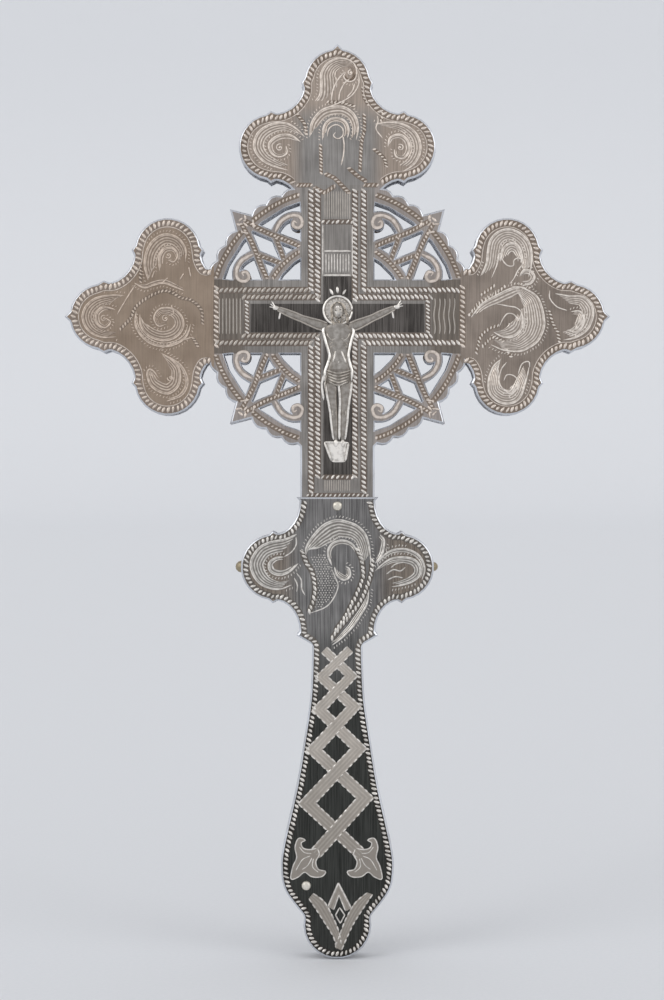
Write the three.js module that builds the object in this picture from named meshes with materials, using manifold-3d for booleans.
// Hand-held blessing cross: a pair of pierced silver sheets over a set-back core, with a
// knop and grip of the same make riveted over the foot of the stem.
import * as THREE from 'three';
import { mergeVertices } from 'three/addons/utils/BufferGeometryUtils.js';
import Module from 'manifold-3d';

const wasm = await Module();
wasm.setup();

// Driving dimensions in millimetres. X runs across and Z runs up the cross. Y runs through
// its thickness with the front at -Y. The origin is in the middle of the grip.

// Thicknesses and fits
const SHEET = 1.0; // each silver sheet
const CORE = 5.0; // filling between the two sheets of the cross
const SET_BACK = 2.0; // how far every core stays in from the edges of its sheets
const FIT = 0.3; // clearance between pieces that butt or pass through each other

// Cross
const CROSSING_HEIGHT = 152.3; // middle of the crossing above the middle of the grip
const BAR_HALF = 11.7; // half the width of the stem and of the crossbar
const LOBE_RADIUS = 10.4; // every round lobe
const END_LOBE = 74.0; // crossing to the middle of an end lobe
const CUSP = 1.6; // point at an arm's tip, beyond the end lobe
const SIDE_LOBE = 53.5; // crossing to the middle of the side lobes, along the arm
const SIDE_LOBE_OUT = 20.7; // middle of the side lobes from the arm's centre line
const ROOT_HOLLOW = 9.4; // length of the hollow between the bar and the side lobe
const BARB = 1.0; // small horn where a hollow meets a lobe

// Ring and pierced work round the crossing
const RING_NOTCH = 42.0; // radius at the nicks between the ring's scallops
const RING_WIDTH = 4.0; // nicks to the ring's inner edge
const SCALLOP = 1.1; // height of a scallop over its nicks
const SCALLOP_ANGLE = 7.6; // degrees of ring to a scallop
const POINT_HEIGHT = 5.9; // pointed tip on each diagonal, over the nicks
const POINT_ANGLE = 4.8; // half the tip's width at its root, in degrees
const BAND_INSIDE = 21.7; // radius of the curved band across the inner corner
const BAND_WIDTH = 3.9;
const STRAP = 2.8; // width of the straight straps of the star
const BRANCH = 2.5; // width of the short straps between them
const SCROLL = 2.6; // width of the curled scrolls
const SCROLL_EYE = 1.9; // radius of a scroll's rolled end

// Where the pierced work bends: degrees from the bar, and distance in from the ring's inner edge
const STRAP_BENDS = [
  { angle: 40.3, inwards: 3.1 },
  { angle: 34.1, inwards: 8.8 },
];
const STRAP_FOOT = 22.0; // along the bar
const BRANCH_ENDS = [
  { angle: 44.0, inwards: 14.5 },
  { angle: 38.0, inwards: 5.6 },
];
const SCROLL_BENDS = [
  { angle: 38.3, inwards: 5.1 },
  { angle: 30.5, inwards: 3.1 },
  { angle: 24.4, inwards: 3.0 },
];
const SCROLL_FOOT = 31.6; // along the bar
const EYE = { angle: 23.8, inwards: 5.8 };

// Knop and grip
const KNOP_HEIGHT = 73.4; // middle of the knop's side lobes
const KNOP_LOBE_OUT = 20.0; // middle of those lobes from the centre line
const KNOP_NECK = 11.9; // half width of the knop above and below its lobes
const UPPER_HOLLOW = 10.4; // length of the hollow above the knop's lobes
const LOWER_HOLLOW = 9.9; // length of the hollow below them
const COLLAR = 1.2; // straight edge between a hollow and the knop's upper or lower edge
const NECK_DROP = 2.9; // slope from the knop's lower corners in to the grip
const NECK_HALF = 7.9; // half width of the grip under the knop
const GRIP_SHAPE = [
  { height: -28.6, half: 16.3 },
  { height: -22.0, half: 17.7 }, // widest place
  { height: -14.5, half: 17.1 },
  { height: 4.4, half: 12.9 },
  { height: 19.5, half: 10.4 },
  { height: 33.0, half: 8.5 },
];
const END_HEIGHT = -39.1; // middle of the grip's round end
const END_RADIUS = 10.7;
const NOTCH_RISE = 3.0; // nick between the round end and the swell, above that middle
const NOTCH_HALF = 10.7;

// Joint of the cross and the grip
const TONGUE = 12.0; // how far the cross runs on under the grip's sheets
const TANG = 22.0; // how far its core runs on beyond that
const TANG_HALF = 6.0; // half width of that tang

// Fasteners
const RIVET_RADIUS = 0.8;
const RIVET_HEAD_RADIUS = 1.5;
const RIVET_HEAD = 0.6; // height of a rivet's head over the sheet
const SEAM_RIVET_DROP = 2.8; // seam rivet below the upper edge of the knop
const GRIP_RIVET_HEIGHT = -26.8;
const GRIP_RIVET_IN = 7.2; // from the grip's edge at that height
const PIN_RADIUS = 0.8; // shank of the pins at the knop's sides
const PIN_LENGTH = 6.0; // shank inside the core
const BEAD_RADIUS = 1.9; // domed head on the left side pin
const FLAT_BEAD_RADIUS = 1.5; // smaller head on the right one

// Smoothness of curves
const ARC_STEPS = 7; // steps to a quarter turn
const SPLINE_STEPS = 10; // steps along a strap or scroll
const HORN_TRIM = 9; // degrees that a lobe or hollow stops short of a barb
const ROUND_STEPS = 20; // sides of a rivet, pin or hole

const seam = KNOP_HEIGHT + LOBE_RADIUS + UPPER_HOLLOW + COLLAR;
const shoulder = KNOP_HEIGHT - LOBE_RADIUS - LOWER_HOLLOW - COLLAR;
const ringInside = RING_NOTCH - RING_WIDTH;
const crossHalf = CORE / 2;
const crossFace = crossHalf + SHEET;
const gripFace = crossFace + SHEET;
const degrees = (angle) => THREE.MathUtils.degToRad(angle);
const polar = (radius, angle) =>
  new THREE.Vector2(radius * Math.cos(degrees(angle)), radius * Math.sin(degrees(angle)));
const inRing = ({ angle, inwards }) => polar(ringInside - inwards, angle);

// Points of an elliptical arc in (along, across) coordinates.
function arc(along, across, radiusAlong, radiusAcross, from, to) {
  const steps = Math.max(3, Math.round((Math.abs(to - from) / 90) * ARC_STEPS));
  const points = [];
  for (let i = 0; i <= steps; i += 1) {
    const angle = degrees(from + ((to - from) * i) / steps);
    points.push(
      new THREE.Vector2(along + radiusAlong * Math.cos(angle), across + radiusAcross * Math.sin(angle)),
    );
  }
  return points;
}

// A side lobe with the hollow before it and the hollow after it. The inset draws the same
// outline further in, without the barbs.
function sideLobe({ along, across, before, after }, inset) {
  const radius = LOBE_RADIUS - inset;
  const start = along - LOBE_RADIUS;
  const end = along + LOBE_RADIUS;
  const barbed = inset === 0;
  const trim = barbed ? HORN_TRIM : 0;
  const hollow = (middle, { length, neck }, from, to) =>
    arc(middle, across, length + inset, across - neck + inset, from, to);
  const horn = (along) => (barbed ? [new THREE.Vector2(along, across + BARB / 3)] : []);
  return [
    ...hollow(start - before.length, before, -90, -trim),
    ...horn(start - BARB),
    ...arc(along, across, radius, radius, 180 - trim, trim),
    ...horn(end + BARB),
    ...hollow(end + after.length, after, 180 + trim, 270),
  ];
}

// One arm of the cross in (along, across) coordinates, closed across the crossing.
function armOutline(inset) {
  const side = sideLobe(
    {
      along: SIDE_LOBE,
      across: SIDE_LOBE_OUT,
      before: { length: ROOT_HOLLOW, neck: BAR_HALF },
      after: { length: END_LOBE - SIDE_LOBE - LOBE_RADIUS, neck: LOBE_RADIUS },
    },
    inset,
  );
  const barbed = inset === 0;
  const radius = LOBE_RADIUS - inset;
  if (barbed) {
    side.pop(); // the barb takes the place of the hollow's last point
    side.push(new THREE.Vector2(END_LOBE - BARB / 3, LOBE_RADIUS + BARB));
  }
  const trim = barbed ? HORN_TRIM : 0;
  const half = [...side, ...arc(END_LOBE, 0, radius, radius, 90 - trim, trim)];
  const tip = barbed ? [new THREE.Vector2(END_LOBE + LOBE_RADIUS + CUSP, 0)] : [];
  const mirrored = half.map((p) => new THREE.Vector2(p.x, -p.y)).reverse();
  if (!barbed) mirrored.shift();
  return [...half, ...tip, ...mirrored];
}

// Turns points about the crossing, so that an outline drawn along +X runs at the given angle.
const turned = (points, angle) =>
  points.map((p) => p.clone().rotateAround(new THREE.Vector2(0, 0), degrees(angle)));
const rectangle = (x0, z0, x1, z1) => [
  new THREE.Vector2(x0, z0),
  new THREE.Vector2(x1, z0),
  new THREE.Vector2(x1, z1),
  new THREE.Vector2(x0, z1),
];

// A flat piece of the given outline, standing in the XZ plane from y to y plus its thickness.
function slab(outline, y, thickness) {
  const geometry = new THREE.ExtrudeGeometry(new THREE.Shape(outline), {
    depth: thickness,
    bevelEnabled: false,
  });
  return geometry.rotateX(Math.PI / 2).translate(0, y + thickness, 0);
}

// A band of even width along a row of points.
function strap(points, width) {
  const left = [];
  const right = [];
  points.forEach((point, i) => {
    const before = points[Math.max(i - 1, 0)];
    const after = points[Math.min(i + 1, points.length - 1)];
    const side = after.clone().sub(before).normalize().multiplyScalar(width / 2);
    left.push(new THREE.Vector2(point.x - side.y, point.y + side.x));
    right.unshift(new THREE.Vector2(point.x + side.y, point.y - side.x));
  });
  return [...right, ...left];
}

// Solids for joining and cutting
function solid(geometry) {
  const bare = geometry.clone();
  bare.deleteAttribute('normal');
  bare.deleteAttribute('uv');
  const merged = mergeVertices(bare, 1e-4);
  return new wasm.Manifold(
    new wasm.Mesh({
      numProp: 3,
      vertProperties: new Float32Array(merged.attributes.position.array),
      triVerts: new Uint32Array(merged.index.array),
    }),
  );
}
const joined = (geometries) => geometries.map(solid).reduce((whole, next) => whole.add(next));
const cut = (body, geometries) => geometries.reduce((left, next) => left.subtract(solid(next)), body);
function geometryOf(body) {
  const mesh = body.getMesh();
  const geometry = new THREE.BufferGeometry();
  geometry.setAttribute('position', new THREE.BufferAttribute(new Float32Array(mesh.vertProperties), 3));
  geometry.setIndex(new THREE.BufferAttribute(new Uint32Array(mesh.triVerts), 1));
  const faceted = geometry.toNonIndexed();
  faceted.computeVertexNormals();
  return faceted;
}

// A round drill through the thickness at (x, z).
const drillHole = (x, z, radius) =>
  new THREE.CylinderGeometry(radius, radius, 4 * gripFace, ROUND_STEPS).translate(x, 0, z);

// Ring with scallops, and a point on each diagonal. One octant is drawn and mirrored.
function ringOutline() {
  const octant = [];
  const root = 45 - POINT_ANGLE;
  const count = Math.ceil(root / SCALLOP_ANGLE);
  for (let i = 0; i < count; i += 1) {
    const start = root - (count - i) * SCALLOP_ANGLE;
    for (const share of [0, 0.25, 0.5, 0.75]) {
      const angle = start + share * SCALLOP_ANGLE;
      if (angle > 0) octant.push(polar(RING_NOTCH + SCALLOP * Math.sin(Math.PI * share), angle));
    }
  }
  octant.push(polar(RING_NOTCH, root));
  const mirroredOctant = octant.map((p) => new THREE.Vector2(p.y, p.x)).reverse();
  const quadrant = [...octant, polar(RING_NOTCH + POINT_HEIGHT, 45), ...mirroredOctant];
  return [0, 90, 180, 270].flatMap((angle) => turned(quadrant, angle));
}

// Half of the star in the first quadrant: a long strap from the ring's point down to the bar,
// a short branch off the curved band and a scroll that curls back onto the bar.
function halfStar() {
  const longStrap = new THREE.SplineCurve([
    polar(RING_NOTCH, 45),
    ...STRAP_BENDS.map(inRing),
    new THREE.Vector2(STRAP_FOOT, BAR_HALF - STRAP / 2),
  ]).getPoints(SPLINE_STEPS);
  const branch = BRANCH_ENDS.map(inRing);
  const scroll = new THREE.SplineCurve([
    ...SCROLL_BENDS.map(inRing),
    new THREE.Vector2(SCROLL_FOOT, BAR_HALF - SCROLL / 2),
  ]).getPoints(SPLINE_STEPS);
  const middle = inRing(EYE);
  const eye = arc(middle.x, middle.y, SCROLL_EYE, SCROLL_EYE, 0, 360).slice(1);
  return [strap(longStrap, STRAP), strap(branch, BRANCH), strap(scroll, SCROLL), eye];
}

// All straps of the pierced work, mirrored about the diagonal and then into four quadrants.
function starOutlines() {
  const quadrant = halfStar().flatMap((outline) => [
    outline,
    outline.map((p) => new THREE.Vector2(p.y, p.x)).reverse(),
  ]);
  const mirrored = (outline, acrossX, acrossZ) =>
    outline.map((p) => new THREE.Vector2(p.x * acrossX, p.y * acrossZ)).reverse();
  const upper = quadrant.flatMap((outline) => [outline, mirrored(outline, -1, 1)]);
  return upper.flatMap((outline) => [outline, mirrored(outline, 1, -1)]);
}

// One sheet of the cross, drawn round the crossing.
function crossSheet() {
  const tongueEnd = seam - TONGUE - CROSSING_HEIGHT;
  const circle = (radius) => arc(0, 0, radius, radius, 0, 360).slice(0, -1);
  const flat = (outline) => slab(outline, 0, SHEET);
  const band = (outside, inside) => solid(flat(outside)).subtract(solid(slab(inside, -SHEET, 3 * SHEET)));
  const bars = [
    rectangle(-BAR_HALF, tongueEnd, BAR_HALF, SIDE_LOBE),
    rectangle(-SIDE_LOBE, -BAR_HALF, SIDE_LOBE, BAR_HALF),
    ...[0, 90, 180].map((angle) => turned(armOutline(0), angle)),
    ...starOutlines(),
  ];
  const sheet = joined(bars.map(flat))
    .add(band(ringOutline(), circle(ringInside)))
    .add(band(circle(BAND_INSIDE + BAND_WIDTH), circle(BAND_INSIDE)));
  const rivetHole = drillHole(0, seam - SEAM_RIVET_DROP - CROSSING_HEIGHT, RIVET_RADIUS + FIT);
  return geometryOf(cut(sheet, [rivetHole]));
}

// Core of the upright: the top arm, the stem, and the tang that enters the grip's core.
function uprightCore() {
  const half = BAR_HALF - SET_BACK;
  const tongueEnd = seam - TONGUE - CROSSING_HEIGHT;
  const pieces = [
    turned(armOutline(SET_BACK), 90),
    rectangle(-half, tongueEnd, half, SIDE_LOBE),
    rectangle(-TANG_HALF, tongueEnd - TANG, TANG_HALF, 0),
  ];
  const body = joined(pieces.map((outline) => slab(outline, -crossHalf, CORE)));
  const rivetHole = drillHole(0, seam - SEAM_RIVET_DROP - CROSSING_HEIGHT, RIVET_RADIUS + FIT);
  return geometryOf(cut(body, [rivetHole]));
}

// Core of one side arm, drawn towards +X, butting on the side of the upright core.
function armCore() {
  const half = BAR_HALF - SET_BACK;
  const pieces = [armOutline(SET_BACK), rectangle(0, -half, SIDE_LOBE, half)];
  const body = joined(pieces.map((outline) => slab(outline, -crossHalf, CORE)));
  const upright = slab(rectangle(-half, -END_LOBE, half + FIT, END_LOBE), -CORE, 2 * CORE);
  return geometryOf(cut(body, [upright]));
}

// Horn at a corner of the knop
const cornerBarb = (height) => new THREE.Vector2(KNOP_NECK + BARB, height);

// Outline of the knop and grip, right half from the round end upwards, then mirrored.
function gripOutline(inset) {
  const barbed = inset === 0;
  const knop = sideLobe(
    {
      along: KNOP_HEIGHT,
      across: KNOP_LOBE_OUT,
      before: { length: LOWER_HOLLOW, neck: KNOP_NECK },
      after: { length: UPPER_HOLLOW, neck: KNOP_NECK },
    },
    inset,
  ).map((p) => new THREE.Vector2(p.y, p.x));
  const notch = THREE.MathUtils.radToDeg(Math.asin(NOTCH_RISE / END_RADIUS));
  const radius = END_RADIUS - inset;
  const end = arc(0, END_HEIGHT, radius, radius, HORN_TRIM - 90, notch - HORN_TRIM / 2);
  const corners = barbed
    ? [cornerBarb(shoulder), ...knop, cornerBarb(seam)]
    : [new THREE.Vector2(KNOP_NECK - inset, shoulder + inset), ...knop];
  const right = [...end, ...gripSide(inset).getPoints(4 * SPLINE_STEPS), ...corners];
  return [...right, ...right.map((p) => new THREE.Vector2(-p.x, p.y)).reverse()];
}

// Right edge of the grip from the nick at its round end up to the knop.
function gripSide(inset) {
  return new THREE.SplineCurve([
    new THREE.Vector2(NOTCH_HALF - inset, END_HEIGHT + NOTCH_RISE),
    ...GRIP_SHAPE.map(({ height, half }) => new THREE.Vector2(half - inset, height)),
    new THREE.Vector2(NECK_HALF - inset, shoulder - NECK_DROP),
  ]);
}

// Place of the grip's lower rivet, measured in from the left edge of the sheet.
function gripRivetPlace() {
  const side = gripSide(0).getPoints(20 * SPLINE_STEPS);
  const nearest = side.reduce((best, point) =>
    Math.abs(point.y - GRIP_RIVET_HEIGHT) < Math.abs(best.y - GRIP_RIVET_HEIGHT) ? point : best,
  );
  return new THREE.Vector3(GRIP_RIVET_IN - nearest.x, 0, GRIP_RIVET_HEIGHT);
}

// One sheet of the knop and grip.
function gripSheet() {
  const holes = [
    drillHole(0, seam - SEAM_RIVET_DROP, RIVET_RADIUS + FIT),
    drillHole(gripRivetPlace().x, GRIP_RIVET_HEIGHT, RIVET_RADIUS + FIT),
  ];
  return geometryOf(cut(solid(slab(gripOutline(0), 0, SHEET)), holes));
}

// Core of the knop and grip, slotted for the tang and drilled for the side pins.
function gripCore() {
  const top = seam - TONGUE - FIT;
  const slot = rectangle(-TANG_HALF - FIT, top - TANG - FIT, TANG_HALF + FIT, seam);
  const above = rectangle(-2 * KNOP_LOBE_OUT, top, 2 * KNOP_LOBE_OUT, 2 * seam);
  const pinHoles = [-1, 1].map((side) =>
    new THREE.CylinderGeometry(PIN_RADIUS + FIT, PIN_RADIUS + FIT, 2 * (PIN_LENGTH + FIT), ROUND_STEPS)
      .rotateZ(Math.PI / 2)
      .translate(side * (KNOP_LOBE_OUT + LOBE_RADIUS - SET_BACK), 0, KNOP_HEIGHT),
  );
  const cuts = [
    slab(slot, -gripFace, 2 * gripFace),
    slab(above, -gripFace, 2 * gripFace),
    ...pinHoles,
    drillHole(gripRivetPlace().x, GRIP_RIVET_HEIGHT, RIVET_RADIUS + FIT),
  ];
  return geometryOf(cut(solid(slab(gripOutline(SET_BACK), -crossFace, 2 * crossFace)), cuts));
}

// Half of a domed head's profile, from its rim to its crown.
const dome = (radius, base, height) =>
  [0, 30, 60, 90].map((angle) => {
    const out = angle === 90 ? 0 : radius * Math.cos(degrees(angle));
    return new THREE.Vector2(out, base + height * Math.sin(degrees(angle)));
  });

// A rivet along Y with a low domed head on both faces of the grip.
function rivet() {
  const lower = dome(RIVET_HEAD_RADIUS, -gripFace, -RIVET_HEAD).reverse();
  const shank = [new THREE.Vector2(RIVET_RADIUS, -gripFace), new THREE.Vector2(RIVET_RADIUS, gripFace)];
  const upper = dome(RIVET_HEAD_RADIUS, gripFace, RIVET_HEAD);
  return new THREE.LatheGeometry([...lower, ...shank, ...upper], ROUND_STEPS);
}

// A pin pointing to +X from the core's edge: a shank inside and a domed head outside.
function sidePin(headRadius) {
  const profile = [
    new THREE.Vector2(0, -PIN_LENGTH),
    new THREE.Vector2(PIN_RADIUS, -PIN_LENGTH),
    new THREE.Vector2(PIN_RADIUS, FIT),
    new THREE.Vector2(headRadius, FIT),
    ...dome(headRadius, SET_BACK, headRadius),
  ];
  return new THREE.LatheGeometry(profile, ROUND_STEPS).rotateZ(-Math.PI / 2);
}

// Materials
const metal = (color, roughness) => new THREE.MeshStandardMaterial({ color, metalness: 0.9, roughness });
const engravedSilver = metal(0xb8ada0, 0.4);
const gripSilver = metal(0x9c9a96, 0.35);
const coreWood = new THREE.MeshStandardMaterial({ color: 0x3d2c20, metalness: 0, roughness: 0.7 });
const nailMetal = metal(0xd6cebd, 0.3);

function named(name, geometry, material) {
  const mesh = new THREE.Mesh(geometry, material);
  mesh.name = name;
  return mesh;
}

// Cross, placed at its crossing
const cross = new THREE.Group();
cross.position.z = CROSSING_HEIGHT;
const crossFront = named('cross_front_plate', crossSheet(), engravedSilver);
crossFront.position.y = -crossFace;
const crossBack = named('cross_back_plate', crossSheet(), engravedSilver);
crossBack.position.y = crossHalf;
const rightArmCore = named('right_arm_core', armCore(), coreWood);
const leftArmCore = named('left_arm_core', armCore(), coreWood);
leftArmCore.rotation.z = Math.PI;
cross.add(crossFront, crossBack, rightArmCore, leftArmCore);
cross.add(named('upright_core', uprightCore(), coreWood));

// Knop and grip, placed at the middle of the grip
const grip = new THREE.Group();
const gripFront = named('grip_front_plate', gripSheet(), gripSilver);
gripFront.position.y = -gripFace;
const gripBack = named('grip_back_plate', gripSheet(), gripSilver);
gripBack.position.y = crossFace;
const rightPin = named('knop_right_pin', sidePin(FLAT_BEAD_RADIUS), nailMetal);
rightPin.position.set(KNOP_LOBE_OUT + LOBE_RADIUS - SET_BACK, 0, KNOP_HEIGHT);
const leftPin = named('knop_left_pin', sidePin(BEAD_RADIUS), nailMetal);
leftPin.position.set(-(KNOP_LOBE_OUT + LOBE_RADIUS - SET_BACK), 0, KNOP_HEIGHT);
leftPin.rotation.z = Math.PI;
const seamRivet = named('seam_rivet', rivet(), nailMetal);
seamRivet.position.z = seam - SEAM_RIVET_DROP;
const gripRivet = named('grip_rivet', rivet(), nailMetal);
gripRivet.position.copy(gripRivetPlace());
grip.add(gripFront, gripBack, named('grip_core', gripCore(), coreWood));
grip.add(rightPin, leftPin, seamRivet, gripRivet);

const blessingCross = new THREE.Group();
blessingCross.add(cross, grip);

export default blessingCross;
